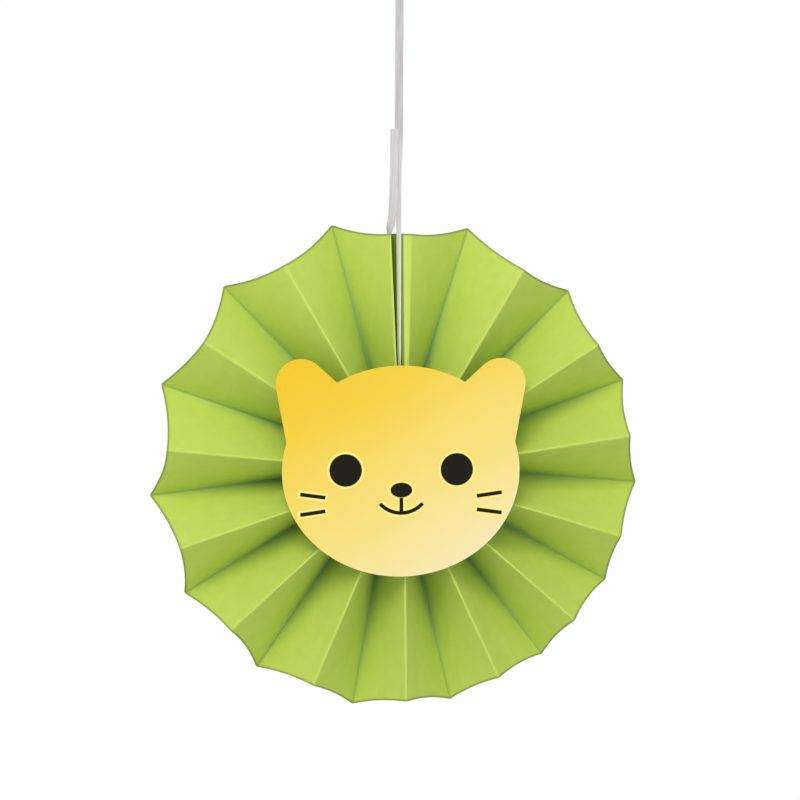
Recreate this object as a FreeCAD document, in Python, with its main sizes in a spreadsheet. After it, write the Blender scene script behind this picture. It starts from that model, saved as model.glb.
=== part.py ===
import FreeCAD, Part
import math
import os

from FreeCAD import Placement, Rotation, Vector

# Paper fan rosette that hangs from a ribbon. Lengths in mm, +Z up, the fan faces -Y.
# The origin is the place inside the top of the ribbon's loop where a hook carries it.
# Every sub-part is drawn as seen from the front, x to the right, y up and z towards
# the viewer, and its placement then turns it upright.

OUT = "parts"
SHEET = "Dimensions"

DIMENSIONS = [
    ("hub_drop", "320", "from the hook down to the centre of the fan"),
    ("back_plane", "24", "how far behind the hook the valley folds lie"),
    ("tip_radius", "150", "radius of the points, at the outer ends of the valley folds"),
    ("rim_step", "10", "how much nearer the hub the mountain folds end than the valley folds"),
    ("crest_radius", "=tip_radius - rim_step", "radius of the mountain folds' outer ends"),
    ("hub_radius", "8", "radius of the open middle"),
    ("pleat_depth", "48", "distance between neighbouring folds"),
    ("paper", "0.3", "thickness of the folded paper"),
    ("crease", "0.8", "width of the flat on top of each fold"),
    ("scallop", "1.7", "hollow of the cut outer edge over one panel"),
    ("flap_width", "24", "width of the two glue flaps at the seam"),
    ("slot_rim", "7.8", "opening of the seam between the crests at the rim"),
    ("slot_hub", "2.8", "opening of the seam between the crests at the hub"),
    ("slot_side_rim", "-1.8", "middle of the seam at the rim, sideways from the hub"),
    ("slot_side_hub", "-0.6", "middle of the seam at its hub end, sideways from the hub"),
    ("slot_root", "0.8", "distance of the two flaps along their back edges"),
    ("root_side_rim", "-3.4", "middle of the flaps' back edges at the rim, sideways from the hub"),
    ("seam_ledge", "4.4", "width at the rim of the soft fold to the right of the seam"),
    ("seam_crest_rise", "28.5", "height of the seam's crests at the rim"),
    ("tape_start", "0.03", "inner end of the seam tape, as a share of the flap's length"),
    ("tape_end", "0.33", "outer end of the seam tape, as a share of the flap's length"),
    ("tape_low", "0.1", "back edge of the seam tape, as a share of the flap's width"),
    ("tape_high", "0.85", "front edge of the seam tape, as a share of the flap's width"),
    ("disc_radius", "35", "radius of the card disc on the back"),
    ("disc_thick", "0.5", "thickness of the card disc on the back"),
    ("film", "0.2", "thickness of the double-sided tapes"),
    ("film_inset", "1", "how far a tape ends short of what it holds"),
    ("pad_radius", "30", "radius of the foam pad"),
    ("pad_over", "3", "how far the foam pad stands proud of the mountain folds at the hub"),
    ("pad_front", "=pleat_depth + pad_over", "height of the pad's front above the back plane"),
    ("pad_skirt", "0.2", "how far the pad's hollow runs on past its rim"),
    ("card_thick", "0.5", "thickness of the face card"),
    ("card_shift", "-2", "how far the face card sits to the right of the hub"),
    ("card_lift", "0.5", "how far the face card sits above the hub"),
    ("head_major", "70.5", "half the width of the head"),
    ("head_minor", "62.5", "half the height of the head"),
    ("ear_in_x", "33.9", "inner foot of the ear, sideways"),
    ("ear_in_y", "49", "inner foot of the ear, up"),
    ("ear_top_x", "81.5", "corner of the ear before rounding, sideways"),
    ("ear_top_y", "92.2", "corner of the ear before rounding, up"),
    ("ear_out_x", "66.5", "outer foot of the ear, sideways"),
    ("ear_out_y", "10", "outer foot of the ear, up"),
    ("ear_round", "14.8", "radius of the ear's rounded top"),
    ("ink", "0.1", "thickness of the printed fields"),
    ("halo_margin", "1.4", "how far the pale outline reaches past the dark print"),
    ("eye_radius", "9.6", "radius of an eye"),
    ("eye_side", "33", "half the distance of the eyes"),
    ("eye_height", "1", "height of the eyes above the card's middle"),
    ("nose_major", "6.4", "half the width of the nose"),
    ("nose_minor", "4.4", "half the height of the nose"),
    ("nose_height", "-11", "height of the nose above the card's middle"),
    ("stem_width", "2.2", "width of the printed lines"),
    ("stem_length", "9", "length of the line below the nose"),
    ("smile_radius", "17", "radius of the mouth line"),
    ("smile_half", "48", "half the angle of the mouth line in degrees"),
    ("smile_height", "-7.6", "height of the mouth line's centre"),
    ("whisker_length", "15", "length of a whisker"),
    ("whisker_side", "45", "inner end of a whisker, sideways"),
    ("whisker_height", "-15", "height of the upper whisker"),
    ("whisker_gap", "8", "distance from the upper to the lower whisker"),
    ("whisker_tilt", "8", "slope of a whisker in degrees"),
    ("ribbon_width", "5", "width of the ribbon"),
    ("ribbon_thick", "0.3", "thickness of the ribbon"),
    ("loop_half", "5", "half the inside depth of the ribbon's loop"),
    ("loop_side", "14", "how far the loop's sides run down before they close in"),
    ("loop_foot", "0.6", "distance of the loop's ends from the middle of the knot"),
    ("knot_top", "27", "from the hook down to the top of the knot"),
    ("knot_high", "6.5", "height of the knot"),
    ("knot_wide", "8.4", "width of the knot"),
    ("knot_deep", "5.2", "depth of the knot"),
    ("knot_round", "1.3", "rounding of the knot"),
    ("join_top", "118", "from the hook down to the cut end of the ribbon's tail"),
    ("join_length", "6", "length over which the tail is glued on"),
    ("tail_shift", "-3.1", "how far the tail is glued on sideways"),
    ("tail_stuck_share", "0.9", "where the tail meets the flap, as a share of its length"),
    ("tail_end_share", "0.72", "lower end of the tail, as a share of the flap's length"),
    ("tail_share", "0.6", "middle of the tail, as a share of the flap's width"),
    ("ribbon_end", "30", "height of the ribbon's lower end above the hub"),
]

# Directions of the folds, clockwise from the seam at the top, in degrees.
# The pleats stand a little wider open beside the seam.
VALLEY_ANGLES = [
    17.2, 45.3, 70.2, 94.7, 119.1, 142.4, 166.8,
    190.1, 214.6, 239.0, 263.3, 289.4, 316.3, 345.2,
]
MOUNTAIN_ANGLES = [
    31.9, 58.1, 82.2, 107.4, 131.3, 155.0, 178.9,
    202.4, 227.2, 251.0, 275.3, 303.2, 330.4,
]

# The hanging ribbon below the knot: share of the way from the knot to the ribbon's lower
# end, to the right and forward of the hook in mm and turn about its own length in degrees.
RIBBON_RUN = [
    (0.0, 0.0, 0.0, 0.0),
    (0.355, -0.4, 0.0, 0.0),
    (0.405, -0.5, 0.0, -58.0),
    (0.565, -0.7, 1.5, -66.0),
    (0.845, -1.4, 9.0, -76.0),
    (0.905, -1.5, 10.6, -90.0),
    (1.0, -1.4, 13.0, -90.0),
]

# The ribbon's tail between the join and the flap that it is stuck to: how far above the
# fan's rim, to the right of the hub and forward of the hook in mm, and turn in degrees.
TAIL_RUN = [
    (28.0, -3.4, 0.5, -10.0),
    (8.0, -4.2, -1.5, -30.0),
    (1.0, -6.2, -3.0, -95.0),
]

UPRIGHT = Rotation(Vector(1, 0, 0), 90)
SEW_GAP = 0.001
HALF = 0.5
FULL_TURN = 360
ARC_SHARE = 0.45
PANEL_ROWS = 8
RIM_STEPS = 6

os.makedirs(OUT, exist_ok=True)
doc = FreeCAD.newDocument("PaperFan")


def fill_sheet():
    """The sheet of driving dimensions; every value gets its own name."""
    table = doc.addObject("Spreadsheet::Sheet", SHEET)
    for row, (name, value, note) in enumerate(DIMENSIONS, start=1):
        table.set("A%d" % row, name)
        table.set("B%d" % row, value)
        table.set("C%d" % row, note)
        table.setAlias("B%d" % row, name)
    doc.recompute()
    return table


sheet = fill_sheet()


def size(name):
    """A driving dimension as a number."""
    return float(sheet.get(name))


def bind(target, prop, formula):
    """Ties a property to the sheet; names of dimensions stand in braces."""
    target.setExpression(prop, formula.replace("{", SHEET + ".").replace("}", ""))


def at_hub(right=0.0, up=0.0, front=0.0):
    """Placement of something drawn from the front, measured from the hub."""
    base = Vector(right, size("back_plane") - front, up - size("hub_drop"))
    return Placement(base, UPRIGHT)


def polar(radius, degrees, height):
    """A point of the fan: clockwise from the top, height above the back plane."""
    angle = math.radians(degrees)
    return Vector(radius * math.sin(angle), radius * math.cos(angle), height)


def between(first, second, share):
    """The point at a share of the way between two points."""
    return first + (second - first) * share


def crest_rise(degrees):
    """Height of a mountain's outer end, from the two panels that carry it."""
    tip = size("tip_radius")
    crest = size("crest_radius")
    nearest = sorted(abs(degrees - other) for other in VALLEY_ANGLES)[:2]
    opening = math.radians(sum(nearest) / len(nearest))
    plan = tip * tip + crest * crest - 2 * tip * crest * math.cos(opening)
    return math.sqrt(size("pleat_depth") ** 2 - plan)


def fold_flat(degrees, radius_out, rise_in, rise_out):
    """The two long edges of the narrow flat on a fold, each from hub to rim."""
    across = polar(1.0, degrees + FULL_TURN / 4, 0.0) * (size("crease") * HALF)
    inner = polar(size("hub_radius"), degrees, rise_in)
    outer = polar(radius_out, degrees, rise_out)
    return [(inner - across, outer - across), (inner + across, outer + across)]


def seam_lines(side):
    """Edges of the flap and of the crest on one side of the seam, slot first."""
    depth = size("pleat_depth")
    rise = size("seam_crest_rise")
    root = size("slot_root") * HALF
    near = size("slot_hub") * HALF
    far = size("slot_rim") * HALF
    wide = size("crease")
    ledge = size("seam_ledge") if side > 0 else wide
    spots = [
        (root, size("root_side_rim") + side * root, size("flap_width")),
        (near, size("slot_side_rim") + side * far, 0),
        (near + wide, size("slot_side_rim") + side * (far + ledge), 0),
    ]
    lines = []
    for inner, outer, down in spots:
        start = Vector(size("slot_side_hub") + side * inner, size("hub_radius"), depth - down)
        lines.append((start, Vector(outer, size("crest_radius"), rise - down)))
    return lines


def fan_lines():
    """All lines along which the strip turns, clockwise from the seam."""
    depth = size("pleat_depth")
    lines = list(seam_lines(1))
    for number, valley in enumerate(VALLEY_ANGLES):
        lines += fold_flat(valley, size("tip_radius"), 0.0, 0.0)
        if number < len(MOUNTAIN_ANGLES):
            crest = MOUNTAIN_ANGLES[number]
            lines += fold_flat(crest, size("crest_radius"), depth, crest_rise(crest))
    lines += list(reversed(seam_lines(-1)))
    return lines


def edge_frame(lines, number, end):
    """Normals of the two faces that meet at a line, and the line's direction."""
    run = (lines[number][1] - lines[number][0]).normalize()
    normals = []
    for first, second in ((number - 1, number), (number, number + 1)):
        if first >= 0 and second < len(lines):
            step = lines[second][end] - lines[first][end]
            normals.append(step.cross(run).normalize())
    return normals, run


def skin_point(lines, number, end, offset):
    """The point of one skin of the paper at a line's end, on the mitre of the fold."""
    normals, run = edge_frame(lines, number, end)
    if len(normals) == 1:
        return lines[number][end] + normals[0] * offset
    total = normals[0] + normals[1]
    mitre = total * (2 * offset / total.dot(total))
    return lines[number][end] + mitre - run * mitre.dot(run)


def panel_point(corners, along, across):
    """A point of a panel, shares from hub to rim and from its first fold to its second."""
    first = between(corners[0], corners[1], along)
    second = between(corners[2], corners[3], along)
    return between(first, second, across)


def rim_points(corners, hollow):
    """Points of one panel's cut edge, a shallow arc hollowed towards the hub."""
    if hollow == 0:
        return [corners[1], corners[3]]
    length = (corners[1] - corners[0]).Length
    points = []
    for step in range(RIM_STEPS + 1):
        across = step / RIM_STEPS
        bite = hollow * (1 - (2 * across - 1) ** 2)
        points.append(panel_point(corners, 1 - bite / length, across))
    return points


def panel_triangles(corners, hollow):
    """Flat three-cornered facets of a panel: rows from hub to rim, fanned at the cut edge."""
    rows = []
    for step in range(PANEL_ROWS):
        along = step / PANEL_ROWS
        rows.append([panel_point(corners, along, 0), panel_point(corners, along, 1)])
    facets = []
    for low, high in zip(rows, rows[1:]):
        facets.append((low[0], low[1], high[0]))
        facets.append((low[1], high[1], high[0]))
    near, far = rows[-1]
    rim = rim_points(corners, hollow)
    middle = len(rim) // 2
    facets.append((near, far, rim[middle]))
    for number in range(len(rim) - 1):
        foot = near if number < middle else far
        facets.append((foot, rim[number + 1], rim[number]))
    return facets, rim


def facet_face(corners):
    """A flat face through the given corners."""
    return Part.Face(Part.makePolygon(list(corners) + [corners[0]]))


def skin_facets(lines, offset, hollows):
    """The facets of one skin with its rim points and its free edges."""
    inner = [skin_point(lines, n, 0, offset) for n in range(len(lines))]
    outer = [skin_point(lines, n, 1, offset) for n in range(len(lines))]
    facets = []
    rim = []
    for number, hollow in enumerate(hollows):
        corners = [inner[number], outer[number], inner[number + 1], outer[number + 1]]
        panel, edge = panel_triangles(corners, hollow)
        facets += panel
        rim += edge if number == 0 else edge[1:]
    ends = []
    for number in (0, -1):
        steps = range(PANEL_ROWS + 1)
        ends.append([between(inner[number], outer[number], n / PANEL_ROWS) for n in steps])
    return facets, [inner, rim] + ends


def closed_solid(faces):
    """One solid out of faces that close up edge to edge."""
    shell = Part.makeShell(faces)
    shell.sewShape(SEW_GAP)
    shape = Part.Solid(Part.Shell(shell.Faces))
    if shape.Volume < 0:
        shape.reverse()
    return shape


def add_feature(name, shape, placement):
    """A sub-part with a shape of its own."""
    feature = doc.addObject("Part::Feature", name)
    feature.Label = name
    feature.Shape = shape
    feature.Placement = placement
    return feature


def as_drawn(feature):
    """The shape of a sub-part as drawn, before its placement turns it upright."""
    shape = feature.Shape.copy()
    shape.Placement = Placement()
    return shape


def build_pleated_fan():
    """The folded strip: panels, folds with narrow flats, flaps, scalloped rim."""
    lines = fan_lines()
    hollows = []
    for number in range(len(lines) - 1):
        step = lines[number + 1][1] - lines[number][1]
        panel = step.Length > size("pleat_depth") * HALF
        hollows.append(size("scallop") if panel and 0 < number < len(lines) - 2 else 0)
    half = size("paper") * HALF
    front, front_edges = skin_facets(lines, half, hollows)
    back, back_edges = skin_facets(lines, -half, hollows)
    facets = front + back
    for first, second in zip(front_edges, back_edges):
        for number in range(len(first) - 1):
            facets.append((first[number], first[number + 1], second[number]))
            facets.append((first[number + 1], second[number + 1], second[number]))
    faces = [facet_face(corners) for corners in facets]
    return add_feature("pleated_fan", closed_solid(faces), at_hub())


def flap_point(side, along, across, off):
    """A point beside a flap, shares from hub and from its back edge, off to the slot's side."""
    lines = seam_lines(side)
    back = between(lines[0][0], lines[0][1], along)
    crest = between(lines[1][0], lines[1][1], along)
    point = between(back, crest, across)
    run = between(lines[0][1], lines[1][1], across) - between(lines[0][0], lines[1][0], across)
    normal = (crest - back).cross(run).normalize()
    if normal.x * side > 0:
        normal = normal * -1
    return point + normal * off


def strip_solid(rings):
    """A solid through a row of four-cornered sections, such as a flat ribbon."""
    faces = []
    for ring in (rings[0], rings[-1]):
        first = Part.LineSegment(ring[0], ring[1]).toShape()
        second = Part.LineSegment(ring[3], ring[2]).toShape()
        faces.append(Part.makeRuledSurface(first, second))
    for low, high in zip(rings, rings[1:]):
        for number in range(len(low)):
            after = (number + 1) % len(low)
            first = Part.LineSegment(low[number], low[after]).toShape()
            second = Part.LineSegment(high[number], high[after]).toShape()
            faces.append(Part.makeRuledSurface(first, second))
    return closed_solid(faces)


def build_seam_tape(fan, ribbon):
    """Soft tape pressed between the flaps near the hub; the ribbon's end is caught in it."""
    skin = size("paper") * HALF
    rings = []
    for along in (size("tape_start"), size("tape_end")):
        rings.append([
            flap_point(-1, along, size("tape_low"), skin),
            flap_point(1, along, size("tape_low"), skin),
            flap_point(1, along, size("tape_high"), skin),
            flap_point(-1, along, size("tape_high"), skin),
        ])
    tape = strip_solid(rings).cut([as_drawn(fan), ribbon])
    return add_feature("seam_tape", tape, at_hub())


def add_cylinder(name, radius, height):
    """A round disc tied to the sheet."""
    disc = doc.addObject("Part::Cylinder", name)
    bind(disc, "Radius", radius)
    bind(disc, "Height", height)
    return disc


def build_back_disc():
    """Card disc that closes the fan's back."""
    disc = add_cylinder("back_disc", "{disc_radius}", "{disc_thick}")
    disc.Label = "back_disc"
    behind = size("paper") * HALF + size("film") + size("disc_thick")
    disc.Placement = at_hub(front=-behind)
    return disc


def build_back_tape():
    """Double-sided tape between the valley folds and the card disc."""
    tape = add_cylinder("back_tape", "{disc_radius} - {film_inset}", "{film}")
    tape.Label = "back_tape"
    tape.Placement = at_hub(front=-size("paper") * HALF - size("film"))
    return tape


def build_foam_pad():
    """Foam pad whose hollow back rests on the mountain folds."""
    highest = max(crest_rise(degrees) for degrees in MOUNTAIN_ANGLES)
    fall = size("pleat_depth") - highest
    slope = fall / (size("crest_radius") - size("hub_radius"))
    corner = abs(size("slot_side_hub")) + size("slot_hub") * HALF + size("crease")
    bulge = math.hypot(size("hub_radius"), corner) - size("hub_radius")
    top = size("pleat_depth") + size("paper") * HALF + slope * bulge
    low = top - slope * (size("pad_radius") - size("hub_radius")) - size("pad_skirt")
    body = add_cylinder("foam_block", "{pad_radius}", "{pad_front}")
    body.Placement = Placement(Vector(0, 0, low), Rotation())
    bind(body, "Height", "{pad_front} - %.6f" % low)
    hollow = doc.addObject("Part::Cone", "foam_hollow")
    hollow.Placement = Placement(Vector(0, 0, low), Rotation())
    bind(hollow, "Radius1", "{pad_radius} + {pad_skirt} / %.6f" % slope)
    bind(hollow, "Radius2", "{hub_radius}")
    bind(hollow, "Height", "%.6f" % (top - low))
    pad = doc.addObject("Part::Cut", "foam_pad")
    pad.Base = body
    pad.Tool = hollow
    pad.Label = "foam_pad"
    pad.Placement = at_hub()
    return pad


def pin_point(sketch, curve, end, across, up, tag):
    """Ties a corner of a sketch to the sheet by its two distances from the centre."""
    import Sketcher
    for kind, formula in (("DistanceX", across), ("DistanceY", up)):
        value = sketch.getPoint(curve, end)
        start = value.x if kind == "DistanceX" else value.y
        index = sketch.addConstraint(Sketcher.Constraint(kind, -1, 1, curve, end, start))
        name = "%s_%s" % (tag, "across" if kind == "DistanceX" else "up")
        sketch.renameConstraint(index, name)
        bind(sketch, "Constraints." + name, formula)


def add_sketch(body, name):
    """An empty sketch on the body's front plane."""
    sketch = body.newObject("Sketcher::SketchObject", name)
    sketch.AttachmentSupport = [(body.Origin.OriginFeatures[3], "")]
    sketch.MapMode = "FlatFace"
    return sketch


def add_pad(body, sketch, name, formula):
    """Raises a sketch to a thickness of the sheet."""
    pad = body.newObject("PartDesign::Pad", name)
    pad.Profile = sketch
    bind(pad, "Length", formula)
    sketch.Visibility = False
    doc.recompute()
    return pad


def ear_sketch(body, name, side):
    """Three-cornered outline of an ear, side -1 left and 1 right."""
    import Sketcher
    sign = "" if side > 0 else "-"
    names = [("ear_in_x", "ear_in_y"), ("ear_top_x", "ear_top_y"), ("ear_out_x", "ear_out_y")]
    corners = [Vector(side * size(a), size(b), 0) for a, b in names]
    sketch = add_sketch(body, name)
    for number, corner in enumerate(corners):
        after = corners[(number + 1) % len(corners)]
        sketch.addGeometry(Part.LineSegment(corner, after), False)
    for number in range(len(corners)):
        after = (number + 1) % len(corners)
        sketch.addConstraint(Sketcher.Constraint("Coincident", number, 2, after, 1))
    for number, (across, up) in enumerate(names):
        pin_point(sketch, number, 1, sign + "{" + across + "}", "{" + up + "}", "corner%d" % number)
    return sketch


def head_sketch(body):
    """Oval outline of the head."""
    import Sketcher
    sketch = add_sketch(body, "head_outline")
    oval = Part.Ellipse(Vector(0, 0, 0), size("head_major"), size("head_minor"))
    sketch.addGeometry(oval, False)
    sketch.exposeInternalGeometry(0)
    sketch.addConstraint(Sketcher.Constraint("Coincident", 0, 3, -1, 1))
    sketch.addConstraint(Sketcher.Constraint("Horizontal", 1))
    for curve, name in ((1, "head_major"), (2, "head_minor")):
        value = 2 * size(name)
        index = sketch.addConstraint(Sketcher.Constraint("Distance", curve, value))
        sketch.renameConstraint(index, "double_" + name)
        bind(sketch, "Constraints.double_" + name, "2 * {" + name + "}")
    return sketch


def corner_edges(shape):
    """Names of the upright edges at the ears' sharp corners."""
    found = []
    for number, edge in enumerate(shape.Edges, start=1):
        spots = [vertex.Point for vertex in edge.Vertexes]
        same = all(
            abs(abs(spot.x) - size("ear_top_x")) < SEW_GAP
            and abs(spot.y - size("ear_top_y")) < SEW_GAP
            for spot in spots
        )
        if same:
            found.append("Edge%d" % number)
    return found


def build_face_card():
    """Die-cut card in the outline of a cat's head with two rounded ears."""
    body = doc.addObject("PartDesign::Body", "face_card")
    body.Label = "face_card"
    add_pad(body, head_sketch(body), "head", "{card_thick}")
    add_pad(body, ear_sketch(body, "left_outline", -1), "left_ear", "{card_thick}")
    pad = add_pad(body, ear_sketch(body, "right_outline", 1), "right_ear", "{card_thick}")
    rounding = body.newObject("PartDesign::Fillet", "ear_rounding")
    rounding.Base = (pad, corner_edges(pad.Shape))
    bind(rounding, "Radius", "{ear_round}")
    body.Placement = at_hub(size("card_shift"), size("card_lift"), size("pad_front"))
    return body


def oval_field(name, major, minor, height, up):
    """A flat oval of ink."""
    outline = doc.addObject("Part::Ellipse", name + "_outline")
    bind(outline, "MajorRadius", major)
    bind(outline, "MinorRadius", minor)
    bind(outline, "Placement.Base.y", up)
    field = doc.addObject("Part::Extrusion", name)
    field.Base = outline
    field.DirMode = "Custom"
    field.Dir = Vector(0, 0, 1)
    field.Solid = True
    bind(field, "LengthFwd", height)
    return field


def bar_field(name, length, width, height, spot, turn):
    """A flat bar of ink that starts at a spot and runs at an angle in degrees."""
    bar = doc.addObject("Part::Box", name)
    bind(bar, "Length", length)
    bind(bar, "Width", width)
    bind(bar, "Height", height)
    bar.Placement = Placement(spot, Rotation(Vector(0, 0, 1), turn))
    return bar


def face_fields(name, margin, height):
    """The printed fields of the face, grown by a margin: eyes, nose, mouth, whiskers."""
    grow = " + " + margin
    twice = " + 2 * " + margin
    extra = size("halo_margin") if "halo" in margin else 0.0
    half_line = size("stem_width") * HALF + extra
    fields = []
    for side, word in ((-1, "left"), (1, "right")):
        eye = add_cylinder(name + "_" + word + "_eye", "{eye_radius}" + grow, height)
        spot = Vector(side * size("eye_side"), size("eye_height"), 0)
        eye.Placement = Placement(spot, Rotation())
        fields.append(eye)
    fields.append(oval_field(
        name + "_nose", "{nose_major}" + grow, "{nose_minor}" + grow, height, "{nose_height}"))
    foot = size("smile_height") - size("smile_radius")
    stem = bar_field(
        name + "_stem", "{stem_width}" + twice, "{stem_length}" + twice, height,
        Vector(-half_line, foot - extra, 0), 0)
    fields.append(stem)
    outer = add_cylinder(name + "_smile_out", "{smile_radius} + {stem_width} / 2" + grow, height)
    bind(outer, "Angle", "2 * {smile_half}")
    inner = add_cylinder(name + "_smile_in", "{smile_radius} - {stem_width} / 2 - " + margin, height)
    smile = doc.addObject("Part::Cut", name + "_smile")
    smile.Base = outer
    smile.Tool = inner
    turn = -FULL_TURN / 4 - size("smile_half")
    smile.Placement = Placement(Vector(0, size("smile_height"), 0), Rotation(Vector(0, 0, 1), turn))
    fields.append(smile)
    for side, word in ((-1, "left"), (1, "right")):
        for row, tilt in ((0, 1), (1, -1)):
            angle = tilt * size("whisker_tilt")
            up = size("whisker_height") - row * size("whisker_gap")
            turn = angle if side > 0 else FULL_TURN / 2 - angle
            along = Rotation(Vector(0, 0, 1), turn)
            spot = Vector(side * size("whisker_side"), up, 0)
            start = spot - along.multVec(Vector(extra, half_line, 0))
            fields.append(bar_field(
                "%s_%s_whisker%d" % (name, word, row), "{whisker_length}" + twice,
                "{stem_width}" + twice, height, start, turn))
    union = doc.addObject("Part::MultiFuse", name)
    union.Shapes = fields
    union.Label = name
    return union


def build_print_halo():
    """Pale fields under the dark print."""
    halo = face_fields("print_halo", "{halo_margin}", "{ink}")
    front = size("pad_front") + size("card_thick")
    halo.Placement = at_hub(size("card_shift"), size("card_lift"), front)
    return halo


def build_face_print():
    """Dark printed face on the pale fields."""
    ink = face_fields("face_print", "0", "{ink}")
    front = size("pad_front") + size("card_thick") + size("ink")
    ink.Placement = at_hub(size("card_shift"), size("card_lift"), front)
    return ink


def strip_ring(centre, across, through):
    """The four corners of the ribbon's section around a point of its route."""
    wide = across * (size("ribbon_width") * HALF)
    thick = through * (size("ribbon_thick") * HALF)
    return [
        centre - wide - thick,
        centre + wide - thick,
        centre + wide + thick,
        centre - wide + thick,
    ]


def ribbon_run():
    """The long run of the ribbon from the knot into the seam."""
    top = size("hub_drop") - size("knot_top") - size("knot_high")
    low = size("ribbon_end")
    rings = []
    for share, right, forward, turn in RIBBON_RUN:
        angle = math.radians(turn)
        centre = Vector(right, top + (low - top) * share, size("back_plane") + forward)
        across = Vector(math.cos(angle), 0, -math.sin(angle))
        through = Vector(math.sin(angle), 0, math.cos(angle))
        rings.append(strip_ring(centre, across, through))
    return strip_solid(rings)


def loop_points():
    """Corner points of the loop's route, as height above the hub and above the back plane."""
    hook = size("hub_drop") + size("ribbon_thick") * HALF
    middle = size("back_plane")
    side = size("hub_drop") - size("loop_side")
    foot = size("hub_drop") - size("knot_top")
    half = size("loop_half")
    near = size("loop_foot")
    return [
        (foot, middle + near), (side, middle + half), (hook, middle + half),
        (hook, middle - half), (side, middle - half), (foot, middle - near),
    ]


def rounded_route(points):
    """Straight runs joined by tangent arcs."""
    spots = [Vector(0, up, height) for up, height in points]
    edges = []
    start = spots[0]
    for before, corner, after in zip(spots, spots[1:], spots[2:]):
        come = (corner - before)
        leave = (after - corner)
        run = ARC_SHARE * min(come.Length, leave.Length)
        come = come.normalize()
        leave = leave.normalize()
        first = corner - come * run
        last = corner + leave * run
        turn = come.getAngle(leave)
        radius = run / math.tan(turn * HALF)
        inward = (leave - come).normalize()
        centre = corner + inward * math.hypot(radius, run)
        middle = centre + (corner - centre).normalize() * radius
        edges.append(Part.LineSegment(start, first).toShape())
        edges.append(Part.Arc(first, middle, last).toShape())
        start = last
    edges.append(Part.LineSegment(start, spots[-1]).toShape())
    return Part.Wire(edges)


def ribbon_loop():
    """The loop above the knot: the ribbon bent over the hook."""
    route = rounded_route(loop_points())
    start = route.Edges[0]
    along = start.tangentAt(start.FirstParameter)
    across = Vector(1, 0, 0)
    ring = strip_ring(start.valueAt(start.FirstParameter), across, across.cross(along))
    outline = Part.makePolygon(ring + [ring[0]])
    swept = route.makePipeShell([outline], True, False)
    foot = size("hub_drop") - size("knot_top")
    wide = 2 * size("ribbon_width")
    deep = 2 * size("back_plane")
    keep = Part.makeBox(wide, size("hub_drop"), deep, Vector(-wide * HALF, foot, 0))
    return swept.common(keep)


def ribbon_knot():
    """The knot under the loop, a rounded block."""
    wide = size("knot_wide")
    deep = size("knot_deep")
    high = size("knot_high")
    low = size("hub_drop") - size("knot_top") - high
    corner = Vector(-wide * HALF, low, size("back_plane") - deep * HALF)
    block = Part.makeBox(wide, high, deep, corner)
    return block.makeFillet(size("knot_round"), block.Edges)


def build_hanging_ribbon():
    """One ribbon: loop, knot and the long run into the seam."""
    whole = ribbon_loop().fuse([ribbon_knot(), ribbon_run()])
    if whole.ShapeType != "Solid" and len(whole.Solids) == 1:
        whole = whole.Solids[0]
    return add_feature("hanging_ribbon", whole, at_hub())


def flap_ring(along, low, high):
    """Section of something flat on the left flap's far side, between two heights off it."""
    skin = size("paper") * HALF
    reach = size("ribbon_width") * HALF / size("flap_width")
    back = size("tail_share") - reach
    front = size("tail_share") + reach
    return [
        flap_point(-1, along, back, -skin - low),
        flap_point(-1, along, front, -skin - low),
        flap_point(-1, along, front, -skin - high),
        flap_point(-1, along, back, -skin - high),
    ]


def tail_rings():
    """Sections of the tail: glued on the front of the ribbon, then down behind the rim."""
    top = size("hub_drop") - size("join_top")
    middle = size("back_plane")
    ahead = size("ribbon_thick") + size("film")
    route = [(top, size("tail_shift"), ahead, 0.0)]
    route.append((top - size("join_length"), size("tail_shift"), ahead, 0.0))
    for above, right, forward, turn in TAIL_RUN:
        route.append((size("crest_radius") + above, right, forward, turn))
    rings = []
    for up, right, forward, turn in route:
        angle = math.radians(turn)
        across = Vector(math.cos(angle), 0, -math.sin(angle))
        through = Vector(math.sin(angle), 0, math.cos(angle))
        rings.append(strip_ring(Vector(right, up, middle + forward), across, through))
    film = size("film")
    for along in (size("tail_stuck_share"), size("tail_end_share")):
        rings.append(flap_ring(along, film, film + size("ribbon_thick")))
    return rings


def build_ribbon_tail():
    """The ribbon's tail, from the join down to the far side of the left flap."""
    return add_feature("ribbon_tail", strip_solid(tail_rings()), at_hub())


def build_tail_tape(fan, tail):
    """Tape between the tail's lower end and the flap, pressed flat."""
    shares = (size("tail_end_share"), size("tail_stuck_share"))
    rings = [flap_ring(along, 0.0, size("film")) for along in shares]
    tape = strip_solid(rings).cut([as_drawn(fan), as_drawn(tail)])
    return add_feature("tail_tape", tape, at_hub())


def build_join_tape():
    """Tape between the tail and the ribbon where they run side by side."""
    tape = doc.addObject("Part::Box", "join_tape")
    tape.Label = "join_tape"
    bind(tape, "Length", "{ribbon_width} + {tail_shift}")
    bind(tape, "Width", "{join_length} - {film_inset}")
    bind(tape, "Height", "{film}")
    low = size("hub_drop") - size("join_top") - size("join_length") + size("film_inset")
    left = -size("ribbon_width") * HALF
    front = size("back_plane") + size("ribbon_thick") * HALF
    tape.Placement = at_hub(left, low, front)
    return tape


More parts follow.
